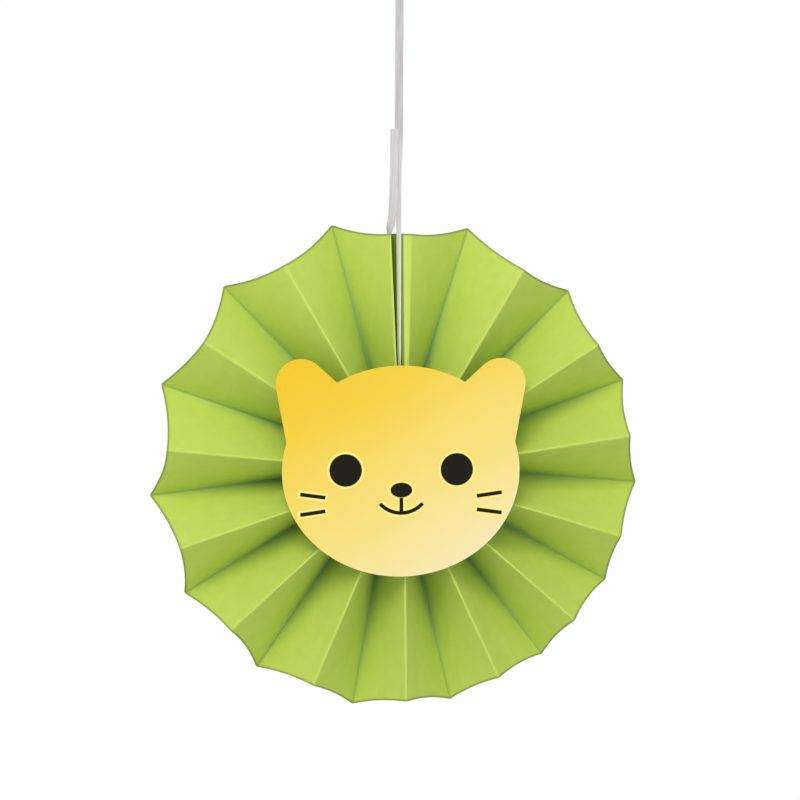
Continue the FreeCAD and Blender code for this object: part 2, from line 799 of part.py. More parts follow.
def write_parts(parts):
    """Checks every sub-part and writes it to a file of its own."""
    doc.recompute()
    for part in doc.Objects:
        if "Invalid" in part.State or "Error" in part.State:
            raise RuntimeError("%s did not build: %s" % (part.Name, part.State))
    for part in parts:
        shape = part.Shape
        if shape.isNull() or not shape.isValid():
            raise RuntimeError("%s has no valid shape" % part.Label)
        shape.exportStep("%s/%s.step" % (OUT, part.Label))
        box = shape.BoundBox
        print("%-16s solids %d volume %9.1f  x %.1f..%.1f  y %.1f..%.1f  z %.1f..%.1f" % (
            part.Label, len(shape.Solids), shape.Volume,
            box.XMin, box.XMax, box.YMin, box.YMax, box.ZMin, box.ZMax))


def main():
    """Builds and writes all sub-parts."""
    fan = build_pleated_fan()
    tail = build_ribbon_tail()
    parts = [
        fan,
        build_back_disc(),
        build_back_tape(),
        build_foam_pad(),
        build_face_card(),
        build_print_halo(),
        build_face_print(),
        build_hanging_ribbon(),
        build_seam_tape(fan, ribbon_run()),
        tail,
        build_tail_tape(fan, tail),
        build_join_tape(),
    ]
    write_parts(parts)


main()
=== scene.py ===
import math

import bmesh
import bpy
import numpy as np
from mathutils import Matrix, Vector


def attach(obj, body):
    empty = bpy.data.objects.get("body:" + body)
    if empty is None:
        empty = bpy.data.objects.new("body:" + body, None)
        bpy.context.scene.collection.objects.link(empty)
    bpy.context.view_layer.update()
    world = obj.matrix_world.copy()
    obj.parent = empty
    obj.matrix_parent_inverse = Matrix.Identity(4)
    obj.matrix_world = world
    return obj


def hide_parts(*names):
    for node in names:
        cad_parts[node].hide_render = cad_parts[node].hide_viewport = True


# A hanging paper fan: one pleated strip of lime craft paper closed to a ring, a die-cut
# card on its front, a thin ribbon that carries it. Sizes below are in millimetres as seen
# from the front: x to the right, up from the hub, height towards the viewer.

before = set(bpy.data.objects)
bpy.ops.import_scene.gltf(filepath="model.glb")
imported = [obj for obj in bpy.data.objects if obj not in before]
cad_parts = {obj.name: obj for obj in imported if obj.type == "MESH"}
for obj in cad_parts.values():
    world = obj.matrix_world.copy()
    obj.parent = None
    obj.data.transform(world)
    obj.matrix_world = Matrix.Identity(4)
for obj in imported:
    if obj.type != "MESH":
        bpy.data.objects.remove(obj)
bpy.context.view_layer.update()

MM = 0.001
HUB = (0.0, 24.0, -320.0)

TIP_RADIUS = 150.0
CREST_RADIUS = 140.0
HUB_RADIUS = 8.0
PLEAT_DEPTH = 48.0
PAPER = 0.3
CREASE = 0.8
# Beside a fold the painted highlight on a mountain and the painted shade in a valley fade
# within about this many mm.
CREASE_FADE = 0.45
SCALLOP = 1.7
FLAP = 24.0
SLOT_RIM = 7.8
SLOT_HUB = 2.8
SLOT_SIDE_RIM = -1.8
SLOT_SIDE_HUB = -0.6
SLOT_ROOT = 0.8
ROOT_SIDE_RIM = -3.4
SEAM_LEDGE = 4.4
SEAM_RISE = 28.5

# From the hook: the card's middle to the right and up, and the knot's top down.
CARD_MIDDLE = (-2.0, -319.5)
KNOT_TOP = 27.0
KNOT_HIGH = 6.5
KNOT_WIDE = 8.4
KNOT_DEEP = 5.2
RIBBON_WIDE = 5.0
RIBBON_THICK = 0.26

PAPER_DARK = "#bed45a"
PAPER_LIGHT = "#c4d961"
# Painted shade in the valley folds: its colour and how much of it is mixed in.
VALLEY_SHADE_GREEN = "#8cb88c"
VALLEY_SHADE_SHARE = 0.68
ROOM_TINT = "#eef7ff"
RIBBON_SPAN = 260.0

VALLEYS = [
    17.2, 45.3, 70.2, 94.7, 119.1, 142.4, 166.8,
    190.1, 214.6, 239.0, 263.3, 289.4, 316.3, 345.2,
]
MOUNTAINS = [
    31.9, 58.1, 82.2, 107.4, 131.3, 155.0, 178.9,
    202.4, 227.2, 251.0, 275.3, 303.2, 330.4,
]


def upright(points):
    """Front-view millimetres to the part's metres: height runs to the viewer, -Y."""
    points = np.asarray(points, dtype=float)
    out = np.empty_like(points)
    out[..., 0] = (points[..., 0] + HUB[0]) * MM
    out[..., 1] = (HUB[1] - points[..., 2]) * MM
    out[..., 2] = (points[..., 1] + HUB[2]) * MM
    return out


def colour(hexcode):
    """sRGB hex to linear RGBA."""
    values = [int(hexcode[i:i + 2], 16) / 255.0 for i in (1, 3, 5)]
    linear = [v / 12.92 if v <= 0.04045 else ((v + 0.055) / 1.055) ** 2.4 for v in values]
    return (*linear, 1.0)


# Camera.

# Side of the square picture in pixels, where its hub lies and how many pixels a mm takes
# at the hub.
PICTURE = 800.0
HUB_PIXEL = (395.0, 464.0)
PIXELS_PER_MM = 1.638


def aim_camera():
    """Slightly from the left and above, 1.5 m away; shifts only frame the hub low."""
    azimuth = math.radians(-6.4)
    elevation = math.radians(5.5)
    distance = 1.5
    target = Vector(HUB) * MM
    away = Vector((
        math.sin(azimuth) * math.cos(elevation),
        -math.cos(azimuth) * math.cos(elevation),
        math.sin(elevation),
    ))
    data = bpy.data.cameras.new("camera")
    data.sensor_width = 36.0
    data.lens = PIXELS_PER_MM * distance / MM / PICTURE * data.sensor_width
    data.shift_x = (PICTURE / 2 - HUB_PIXEL[0]) / PICTURE
    data.shift_y = (HUB_PIXEL[1] - PICTURE / 2) / PICTURE
    data.clip_end = 60.0
    camera = bpy.data.objects.new("camera", data)
    camera.location = target + away * distance
    camera.rotation_euler = (-away).to_track_quat("-Z", "Y").to_euler()
    bpy.context.scene.collection.objects.link(camera)
    bpy.context.scene.camera = camera


# Meshes.

def new_piece(name, points, quads, material_index=None, uv=None, attributes=None):
    """One mesh object at the origin out of arrays of points and four-cornered faces."""
    mesh = bpy.data.meshes.new(name)
    mesh.vertices.add(len(points))
    mesh.vertices.foreach_set("co", np.asarray(points, dtype=np.float32).ravel())
    mesh.loops.add(quads.size)
    mesh.loops.foreach_set("vertex_index", quads.ravel().astype(np.int32))
    mesh.polygons.add(len(quads))
    starts = np.arange(0, quads.size, 4, dtype=np.int32)
    mesh.polygons.foreach_set("loop_start", starts)
    mesh.update(calc_edges=True)
    if material_index is not None:
        mesh.polygons.foreach_set("material_index", material_index.astype(np.int32))
    if uv is not None:
        layer = mesh.uv_layers.new(name="strip")
        layer.data.foreach_set("uv", uv[quads.ravel()].astype(np.float32).ravel())
    for key, values in (attributes or {}).items():
        layer = mesh.attributes.new(key, "FLOAT", "POINT")
        layer.data.foreach_set("value", values.astype(np.float32))
    mesh.validate()
    piece = bpy.data.objects.new(name, mesh)
    bpy.context.scene.collection.objects.link(piece)
    return piece


def smooth(piece, degrees):
    """Smooth faces with crisp edges where the surface turns by more than the angle."""
    mesh = piece.data
    mesh.polygons.foreach_set("use_smooth", np.ones(len(mesh.polygons), dtype=bool))
    mesh.set_sharp_from_angle(angle=math.radians(degrees))


def grid_quads(rows, columns, offset=0, flip=False, wrap=False):
    """Faces of a grid whose points are stored row by row."""
    across = columns if wrap else columns - 1
    row, column = np.meshgrid(np.arange(rows - 1), np.arange(across), indexing="ij")
    after = (column + 1) % columns
    quads = np.stack([
        row * columns + column, row * columns + after,
        (row + 1) * columns + after, (row + 1) * columns + column,
    ], axis=-1).reshape(-1, 4)
    if flip:
        quads = quads[:, ::-1]
    return quads + offset


# Pleated fan.

def polar(radius, degrees, height):
    """A point at a radius and a direction clockwise from straight up, in front-view mm."""
    angle = math.radians(degrees)
    return np.array([radius * math.sin(angle), radius * math.cos(angle), height])


def crest_rise(degrees):
    """Height of a mountain's outer end: the panel's width against its plan length."""
    nearest = sorted(abs(degrees - other) for other in VALLEYS)[:2]
    opening = math.radians(sum(nearest) / len(nearest))
    plan = TIP_RADIUS ** 2 + CREST_RADIUS ** 2
    plan -= 2 * TIP_RADIUS * CREST_RADIUS * math.cos(opening)
    return math.sqrt(PLEAT_DEPTH ** 2 - plan)


def fold_lines():
    """Hub and rim ends of every line the strip turns at, clockwise from the seam.

    Each fold has two lines, the edges of its narrow flat, and a kind: 1 for a mountain,
    -1 for a valley, 0 for the free edge of a flap.
    """
    hub = []
    rim = []
    kind = []

    def fold(degrees, radius, rise_in, rise_out, sort):
        """The two lines of a fold between its ends' heights at the hub and at the rim."""
        across = polar(1.0, degrees + 90.0, 0.0) * CREASE / 2
        inner = polar(HUB_RADIUS, degrees, rise_in)
        outer = polar(radius, degrees, rise_out)
        hub.extend([inner - across, inner + across])
        rim.extend([outer - across, outer + across])
        kind.extend([sort, sort])

    def seam(side):
        """The flap's edge and the crest beside the seam; side is 1 right of it, -1 left."""
        near = SLOT_HUB / 2
        far = SLOT_RIM / 2
        root = SLOT_ROOT / 2
        ledge = SEAM_LEDGE if side > 0 else CREASE
        lines = [
            (root, ROOT_SIDE_RIM + side * root, FLAP, 0),
            (near, SLOT_SIDE_RIM + side * far, 0.0, 1),
            (near + CREASE, SLOT_SIDE_RIM + side * (far + ledge), 0.0, 1),
        ]
        for inner, outer, down, sort in lines if side > 0 else reversed(lines):
            hub.append(np.array([SLOT_SIDE_HUB + side * inner, HUB_RADIUS, PLEAT_DEPTH - down]))
            rim.append(np.array([outer, CREST_RADIUS, SEAM_RISE - down]))
            kind.append(sort)

    seam(1)
    for number, valley in enumerate(VALLEYS):
        fold(valley, TIP_RADIUS, 0.0, 0.0, -1)
        if number < len(MOUNTAINS):
            crest = MOUNTAINS[number]
            fold(crest, CREST_RADIUS, PLEAT_DEPTH, crest_rise(crest), 1)
    seam(-1)
    return np.array(hub), np.array(rim), np.array(kind)


# Points along a fold, shares of a panel's width at which it has points, and steps round a
# fold. The points across lie closest beside the folds.
ALONG = 72
PANEL_STEPS = np.array([0.0, 0.012, 0.035, 0.08, 0.16, 0.28, 0.42, 0.56, 0.70, 0.82,
                        0.91, 0.96, 0.987, 1.0])
FOLD_STEPS = np.linspace(0.0, 1.0, 9)[1:-1]

# How far a panel bows and how much that and its cut edge vary from one to the next.
BOW = 0.25
BOW_SPREAD = 0.45
TWIST_SPREAD = 0.25
CUT_SPREAD = 0.25


def panel_sheet(hub, rim, chance, bowed):
    """Middle surface of one panel as columns of points from hub to rim.

    A point is the straight mix of the two fold lines. The hollow of the cut edge, a
    parabola across the panel, draws it towards the hub in proportion to how far out it
    lies. A bow lifts it off the flat by a half sine of its place across, strongest two
    thirds of the way out, and a whole sine across that grows as the square of the way out
    adds to it. Flaps stay flat and straight.
    """
    share = PANEL_STEPS[:, None, None]
    along = np.linspace(0.0, 1.0, ALONG)[None, :, None]
    inner = hub[0] * (1 - share) + hub[1] * share
    outer = rim[0] * (1 - share) + rim[1] * share
    run = outer - inner
    length = np.linalg.norm(run, axis=-1, keepdims=True)
    depth = SCALLOP * (1.0 + CUT_SPREAD * chance[3]) if bowed else 0.0
    hollow = depth * (1 - (2 * share - 1) ** 2)
    points = inner + run * along * (1 - hollow / length)
    wide = np.linalg.norm(rim[1] - rim[0])
    if bowed:
        normal = np.cross(rim[1] - rim[0], rim.mean(axis=0) - hub.mean(axis=0))
        normal /= np.linalg.norm(normal)
        swell = np.sin(np.pi * share) * np.sin(np.pi * along * 0.75)
        twist = np.sin(2 * np.pi * share) * along ** 2
        lift = (BOW + BOW_SPREAD * chance[0]) * swell + TWIST_SPREAD * chance[1] * twist
        points = points + normal * lift
    return points, share[:, 0, 0] * wide


def fan_surface():
    """Middle surface of the whole strip and what the paper's finish needs to know.

    Panels are joined over each fold by a cubic Bezier whose handles are the fold's two
    lines, so the crease is round at well under a millimetre. The finish gets each column's
    place along the strip, its crease (1 on a mountain, -1 in a valley, falling as a bell
    beside the fold) and its distance across the panel from the valley.
    """
    hub, rim, kind = fold_lines()
    chances = np.random.default_rng(7)
    columns = []
    places = []
    creases = []
    hollows = []
    place = 0.0
    last = None
    count = len(hub)
    for first in range(0, count - 1, 2):
        pair = [first, first + 1]
        bowed = 0 < first < count - 2
        # Four draws a panel, of which the third has no use but keeps the others' order.
        chance = chances.uniform(-1.0, 1.0, 4)
        sheet, wide = panel_sheet(hub[pair], rim[pair], chance, bowed)
        sorts = kind[pair]
        if last is not None:
            before, corner_a = last[-2], last[-1]
            corner_b, after = sheet[0], sheet[1]
            for step in FOLD_STEPS:
                curve = ((1 - step) ** 3 * before + 3 * (1 - step) ** 2 * step * corner_a
                         + 3 * (1 - step) * step ** 2 * corner_b + step ** 3 * after)
                columns.append(curve)
                places.append(place + CREASE * step)
                creases.append(sorts[0])
                hollows.append(0.0 if sorts[0] < 0 else PLEAT_DEPTH)
            place += CREASE
            sheet = sheet[1:]
            wide = wide[1:]
        keep = len(sheet) if pair[1] == count - 1 else len(sheet) - 1
        near = np.minimum(wide, wide[-1] - wide)
        sort = np.where(wide < wide[-1] / 2, sorts[0], sorts[1])
        hollow = wide if sorts[0] < 0 else wide[-1] - wide
        if -1 not in sorts:
            hollow = np.full_like(wide, PLEAT_DEPTH)
        for number in range(keep):
            columns.append(sheet[number])
            places.append(place + wide[number])
            creases.append(sort[number] * math.exp(-(near[number] / CREASE_FADE) ** 2))
            hollows.append(hollow[number])
        place += wide[-1]
        last = sheet
    return np.array(columns), np.array(places), np.array(creases), np.array(hollows)


def unit(vectors):
    """The same directions at length 1."""
    return vectors / np.linalg.norm(vectors, axis=-1, keepdims=True)


def fold_paper_fan():
    """The strip as a closed sheet of paper: two skins half a thickness either side."""
    surface, places, creases, hollows = fan_surface()
    columns, rows = surface.shape[:2]
    across = np.empty_like(surface)
    across[1:-1] = surface[2:] - surface[:-2]
    across[0] = surface[1] - surface[0]
    across[-1] = surface[-1] - surface[-2]
    along = np.gradient(surface, axis=1)
    normal = unit(np.cross(across, along))
    skins = [surface + normal * PAPER / 2, surface - normal * PAPER / 2]
    total = columns * rows
    points = np.concatenate([skin.reshape(-1, 3) for skin in skins])
    front = grid_quads(columns, rows, 0, flip=True)
    back = grid_quads(columns, rows, total)
    index = np.arange(total).reshape(columns, rows)

    def band(line):
        """Faces that close the sheet between its skins along a line of points."""
        return np.stack([line[:-1], line[1:], line[1:] + total, line[:-1] + total], axis=-1)

    edges = np.concatenate([
        band(index[:, 0]), band(index[:, -1])[:, ::-1],
        band(index[0])[:, ::-1], band(index[-1]),
    ])
    quads = np.concatenate([front, back, edges])
    sort = np.zeros(len(quads), dtype=int)
    sort[len(front) + len(back):] = 1
    # One unit of the paper's own coordinates is 100 mm, along the strip and from the hub.
    length = np.linspace(0.0, 1.0, rows)
    uv = np.stack([
        np.repeat(places / 100.0, rows), np.tile(length * 1.4, columns)], axis=-1)
    piece = new_piece(
        "folded_fan", upright(points), quads, sort, np.concatenate([uv, uv]),
        {
            "crease": np.concatenate([np.repeat(creases, rows), -np.repeat(creases, rows)]),
            "reach": np.tile(np.tile(length, columns), 2),
            "hollow": np.tile(np.repeat(hollows, rows), 2),
        })
    smooth(piece, 52.0)
    return piece


# Ribbon.

def spline_line(points):
    """Points along the smooth NURBS line of a route, in metres."""
    data = bpy.data.curves.new("route", "CURVE")
    data.dimensions = "3D"
    data.resolution_u = 24
    spline = data.splines.new("NURBS")
    spline.points.add(len(points) - 1)
    spline.points.foreach_set("co", np.array([(*p, 1.0) for p in points]).ravel())
    spline.order_u = 3
    spline.use_endpoint_u = True
    holder = bpy.data.objects.new("route", data)
    bpy.context.scene.collection.objects.link(holder)
    bpy.context.view_layer.update()
    graph = bpy.context.evaluated_depsgraph_get()
    mesh = bpy.data.meshes.new_from_object(holder.evaluated_get(graph))
    line = np.empty(len(mesh.vertices) * 3)
    mesh.vertices.foreach_get("co", line)
    bpy.data.objects.remove(holder)
    bpy.data.curves.remove(data)
    bpy.data.meshes.remove(mesh)
    return line.reshape(-1, 3)


def walked(line):
    """Distance along a line from its start to each of its points."""
    return np.concatenate([[0.0], np.cumsum(np.linalg.norm(np.diff(line, axis=0), axis=1))])


def flat_ribbon(name, line, widths, curl):
    """A flat ribbon carried along a line of points.

    Its section starts along the wide direction and turns off it by curl degrees towards
    its leading edge, as a smoothstep over the last seven tenths of its width. The section
    is the running sum of those directions, centred on the line, with a skin on either side
    at half the thickness times the root of 0.92 (1 - off^8) + 0.08, where off runs from -1
    to 1 across, so that it thins at the selvedges.
    """
    steps = 22
    along = unit(np.gradient(line, axis=0))
    wide = unit(widths - along * np.sum(widths * along, axis=1, keepdims=True))
    deep = np.cross(along, wide)
    place = np.linspace(0.0, 1.0, steps)
    share = np.clip((place - 0.3) / 0.7, 0.0, 1.0)
    bend = np.radians(curl)[:, None] * (share ** 2 * (3 - 2 * share))[None]
    pace = RIBBON_WIDE * MM / (steps - 1)
    middle = (bend[:, 1:] + bend[:, :-1]) / 2
    start = np.zeros((len(line), 1))
    run_wide = np.concatenate([start, np.cumsum(np.cos(middle), axis=1)], axis=1) * pace
    run_deep = np.concatenate([start, np.cumsum(np.sin(middle), axis=1)], axis=1) * pace
    run_wide -= run_wide.mean(axis=1, keepdims=True)
    run_deep -= run_deep.mean(axis=1, keepdims=True)
    sheet = (line[:, None] + wide[:, None] * run_wide[..., None]
             + deep[:, None] * run_deep[..., None])
    normal = (deep[:, None] * np.cos(bend)[..., None] - wide[:, None] * np.sin(bend)[..., None])
    half = RIBBON_THICK * MM / 2 * np.sqrt(0.92 * (1 - (2 * place - 1) ** 8) + 0.08)
    front = sheet + normal * half[None, :, None]
    back = sheet - normal * half[None, :, None]
    ring = np.concatenate([front, back[:, ::-1]], axis=1)
    rows, around = ring.shape[:2]
    across = np.concatenate([place, place[::-1]])
    uv = np.stack([
        np.tile(across, rows), np.repeat(walked(line) / (100.0 * MM), around)], axis=-1)
    piece = new_piece(name, ring.reshape(-1, 3), grid_quads(rows, around, wrap=True), uv=uv)
    close_ends(piece)
    smooth(piece, 60.0)
    return piece


def close_ends(piece):
    """Fills what is still open and turns every face outwards."""
    work = bmesh.new()
    work.from_mesh(piece.data)
    rim = [edge for edge in work.edges if edge.is_boundary]
    if rim:
        bmesh.ops.holes_fill(work, edges=rim, sides=0)
    bmesh.ops.recalc_face_normals(work, faces=work.faces)
    work.to_mesh(piece.data)
    work.free()


def spread(shares, values, line):
    """Values given at shares of a line's length, eased over its points."""
    length = walked(line)
    even = np.interp(length / length[-1], shares, values)
    window = np.hanning(11)
    padded = np.pad(even, 5, mode="edge")
    return np.convolve(padded, window / window.sum(), mode="valid")


def turned(shares, turns, line):
    """Wide direction of the ribbon along a line, turned about the upright by degrees."""
    angle = np.radians(spread(shares, turns, line))
    return np.stack([np.cos(angle), np.sin(angle), np.zeros_like(angle)], axis=-1)


def resample(line, count):
    """The same line with evenly spaced points."""
    length = walked(line)
    even = np.linspace(0.0, length[-1], count)
    return np.stack([np.interp(even, length, line[:, axis]) for axis in range(3)], axis=-1)


# Routes of the cords from their lower or cut ends, and how the ribbon lies along them: at
# shares of its length its turn about the upright and its curl, both in degrees.
RUN_ROUTE = [
    (-0.0014, -0.0130, -0.2900),
    (-0.0015, -0.0106, -0.2656),
    (-0.0014, -0.0090, -0.2502),
    (-0.0007, -0.0015, -0.1784),
    (-0.0005, 0.0, -0.1374),
    (-0.0004, 0.0, -0.1246),
    (0.0, 0.0, -0.0335),
]
RUN_SHARES = [0.0, 0.095, 0.155, 0.435, 0.595, 0.645, 1.0]
RUN_TURNS = [-90, -90, -76, -66, -58, 0, 0]
RUN_CURL = [0, 15, 25, 15, 10, 0, 0]

TAIL_ROUTE = [
    (-0.0031, -0.0005, -0.1180),
    (-0.0031, -0.0005, -0.1240),
    (-0.0034, -0.0005, -0.1520),
    (-0.0042, 0.0015, -0.1720),
    (-0.0062, 0.0030, -0.1790),
    (-0.0051, 0.0032, -0.1932),
    (-0.0045, -0.0003, -0.2170),
]
TAIL_SHARES = [0.0, 0.06, 0.34, 0.585, 0.617, 0.65, 0.76, 1.0]
TAIL_TURNS = [0, 0, -10, -28, -60, -90, -95, -96]
TAIL_CURL = [0, 0, -8, 0, 0, 0, 0, 0]


def hang_ribbon():
    """The long run, its loop and knot, and the glued-on tail."""
    line = resample(spline_line(RUN_ROUTE), 160)
    widths = turned(RUN_SHARES, RUN_TURNS, line)
    curl = spread(RUN_SHARES, RUN_CURL, line)
    run = flat_ribbon("ribbon_run", line, widths, curl)
    loop = tie_loop()
    knot = tie_knot()
    for piece in (run, loop, knot):
        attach(piece, "root")
        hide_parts("hanging_ribbon")
        dress(piece, RUN_RIBBON)
    line = resample(spline_line(TAIL_ROUTE), 200)
    widths = turned(TAIL_SHARES, TAIL_TURNS, line)
    curl = spread(TAIL_SHARES, TAIL_CURL, line)
    tail = flat_ribbon("ribbon_tail_strand", line, widths, curl)
    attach(tail, "root")
    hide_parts("ribbon_tail")
    dress(tail, TAIL_RIBBON)


LOOP_ROUTE = [
    (0.0, -0.0006, -0.0275), (0.0, -0.0050, -0.0140), (0.0, -0.0052, 0.0001),
    (0.0, 0.0052, 0.0001), (0.0, 0.0050, -0.0140), (0.0, 0.0006, -0.0275),
]


def tie_loop():
    """The ribbon over the hook: up one side, round the top and down the other."""
    line = resample(spline_line(LOOP_ROUTE), 90)
    widths = np.tile(np.array([1.0, 0.0, 0.0]), (len(line), 1))
    return flat_ribbon("ribbon_loop", line, widths, np.zeros(len(line)))


def tie_knot():
    """The knot: a lump whose section is a rounded oblong, waisted by the wraps of ribbon.

    Height runs from -1 to 1; the radius closes as a superellipse at both ends and swells
    and dips along two slanting wraps.
    """
    rows = 41
    steps = 64
    height = np.linspace(-1.0, 1.0, rows)[:, None]
    angle = np.arange(steps)[None, :] / steps * 2 * np.pi
    close = (1 - np.abs(height) ** 4) ** 0.5
    wrap = 0.09 * np.cos(2 * np.pi * (height * 1.1 + 0.35 * np.sin(angle)))
    wrap = wrap * (1 - height ** 2)
    cosine = np.cos(angle)
    sine = np.sin(angle)
    across = np.sign(cosine) * np.abs(cosine) ** 0.75 * (0.90 + wrap) * close
    through = np.sign(sine) * np.abs(sine) ** 0.75 * (0.92 + 1.2 * wrap) * close
    up = np.broadcast_to(height * KNOT_HIGH / 2 - KNOT_TOP - KNOT_HIGH / 2, across.shape)
    # The rows at both ends close to a point and are left out; close_ends fills them.
    points = np.stack([across * KNOT_WIDE / 2, through * KNOT_DEEP / 2, up], axis=-1)
    points = points[1:-1].reshape(-1, 3) * MM
    quads = grid_quads(rows - 2, steps, wrap=True)
    uv = np.stack([np.tile(np.arange(steps) / steps, rows - 2),
                   np.repeat(np.linspace(0, 0.1, rows - 2), steps)], axis=-1)
    piece = new_piece("ribbon_knot", points, quads, uv=uv)
    close_ends(piece)
    smooth(piece, 70.0)
    return piece


# Materials.

MATH = "ShaderNodeMath"
MIX = "ShaderNodeMix"
NOISE = "ShaderNodeTexNoise"
RAMP = "ShaderNodeValToRGB"
BUMP = "ShaderNodeBump"
PRINCIPLED = "ShaderNodeBsdfPrincipled"


def add(tree, kind, inputs, output=0, stops=(), **settings):
    """Adds a node and gives back one of its outputs.

    Settings are the node's properties. Inputs go by name or number and hold a number, a
    colour's hex code or the output of another node. Stops are a ramp's places and hex codes.
    """
    node = tree.nodes.new(kind)
    for key, value in settings.items():
        setattr(node, key, value)
    for key, value in inputs.items():
        if isinstance(value, bpy.types.NodeSocket):
            tree.links.new(value, node.inputs[key])
        else:
            plain = colour(value) if isinstance(value, str) else value
            node.inputs[key].default_value = plain
    if stops:
        elements = node.color_ramp.elements
        while len(elements) < len(stops):
            elements.new(0.5)
        for element, (place, shade) in zip(elements, stops):
            element.position = place
            element.color = colour(shade)
    return node.outputs[output] if len(node.outputs) else None


def start_material(name):
    """An empty material with its node tree."""
    material = bpy.data.materials.new(name)
    material.use_nodes = True
    material.node_tree.nodes.clear()
    return material, material.node_tree


def craft_paper():
    """Dyed craft paper, machine-made and uncoated, 200 g/m2: matt, a faint cloudiness of
    the fibres, a painted highlight pale on the mountain folds, painted shade in a cooler and
    deeper green towards and in the valley folds and a hair line of painted shade along the cut."""
    material, tree = start_material("dyed_craft_paper")
    place = add(tree, "ShaderNodeTexCoord", {}, "Object")
    crease = add(tree, "ShaderNodeAttribute", {}, "Fac", attribute_name="crease")
    reach = add(tree, "ShaderNodeAttribute", {}, "Fac", attribute_name="reach")
    hollow = add(tree, "ShaderNodeAttribute", {}, "Fac", attribute_name="hollow")
    # Fibre flocks of craft paper are about 9 mm across, single fibres up to 0.9 mm long.
    cloud = add(tree, NOISE, {
        "Vector": place, "Scale": 1 / (9.0 * MM), "Detail": 3.0, "Roughness": 0.6})
    fibre = add(tree, NOISE, {
        "Vector": place, "Scale": 1 / (0.9 * MM), "Detail": 4.0, "Roughness": 0.7})
    base = add(tree, RAMP, {"Fac": cloud}, stops=[(0.30, PAPER_DARK), (0.70, PAPER_LIGHT)])
    pale = add(tree, MATH, {0: fibre, 1: 0.08}, operation="MULTIPLY")
    base = add(tree, MIX, {0: pale, 6: base, 7: "#cbdc7e"}, 2, data_type="RGBA")
    # Painted shade in the valleys: the deeper green spreads 2 mm from the fold at the rim and 9
    # mm at the hub.
    inner = add(tree, MATH, {0: 1.0, 1: reach}, operation="SUBTRACT")
    width = add(tree, MATH, {0: inner, 1: 7.0, 2: 2.0}, operation="MULTIPLY_ADD")
    ratio = add(tree, MATH, {0: hollow, 1: width}, operation="DIVIDE")
    fall = add(tree, MATH, {0: ratio, 1: -1.0}, operation="MULTIPLY")
    bell = add(tree, MATH, {0: fall}, operation="EXPONENT")
    rise = add(tree, MATH, {0: inner, 1: 1.6, 2: 0.1}, operation="MULTIPLY_ADD")
    depth = add(tree, MATH, {0: rise, 1: bell}, operation="MULTIPLY", use_clamp=True)
    share = add(tree, MATH, {0: depth, 1: VALLEY_SHADE_SHARE}, operation="MULTIPLY")
    base = add(tree, MIX, {0: share, 6: base, 7: VALLEY_SHADE_GREEN}, 2, data_type="RGBA")
    # Painted highlight: the mountain folds are drawn paler where their creases catch the light.
    ridge = add(tree, MATH, {0: crease, 1: 0.0}, operation="MAXIMUM")
    crest_highlight = add(tree, MATH, {0: ridge, 1: 0.12}, operation="MULTIPLY")
    base = add(tree, MIX, {0: crest_highlight, 6: base, 7: "#dcec8a"}, 2, data_type="RGBA")
    # Painted shade: the valley folds are drawn darker right along the crease.
    groove = add(tree, MATH, {0: crease, 1: 0.0}, operation="MINIMUM")
    groove_shade = add(tree, MATH, {0: groove, 1: -0.5}, operation="MULTIPLY")
    base = add(tree, MIX, {0: groove_shade, 6: base, 7: "#6d8a44"}, 2, data_type="RGBA")
    # Painted shade: the paper is drawn darker over the last 1.6 mm before the cut.
    past = add(tree, MATH, {0: reach, 1: 0.988}, operation="SUBTRACT")
    cut = add(tree, MATH, {0: past, 1: 120.0}, operation="MULTIPLY", use_clamp=True)
    dark = add(tree, MATH, {0: cut, 1: 0.85}, operation="MULTIPLY")
    base = add(tree, MIX, {0: dark, 6: base, 7: "#7c9140"}, 2, data_type="RGBA")
    relief = add(tree, BUMP, {"Height": fibre, "Distance": 0.06 * MM, "Strength": 0.4})
    shader = add(tree, PRINCIPLED, {
        "Base Color": base, "Roughness": 0.78, "IOR": 1.48, "Specular IOR Level": 0.25,
        "Normal": relief})
    add(tree, "ShaderNodeOutputMaterial", {"Surface": shader})
    return material


def cut_paper():
    """The guillotined edge of the same paper: open fibres, drawn a little darker as painted
    shade.
    """
    material, tree = start_material("cut_craft_paper_edge")
    place = add(tree, "ShaderNodeTexCoord", {}, "Object")
    # Cut fibre bundles of craft paper are about 0.6 mm apart.
    fibre = add(tree, NOISE, {
        "Vector": place, "Scale": 1 / (0.6 * MM), "Detail": 3.0, "Roughness": 0.6})
    base = add(tree, RAMP, {"Fac": fibre}, stops=[(0.3, "#809a36"), (0.7, "#97b24a")])
    shader = add(tree, PRINCIPLED, {"Base Color": base, "Roughness": 0.9})
    add(tree, "ShaderNodeOutputMaterial", {"Surface": shader})
    return material


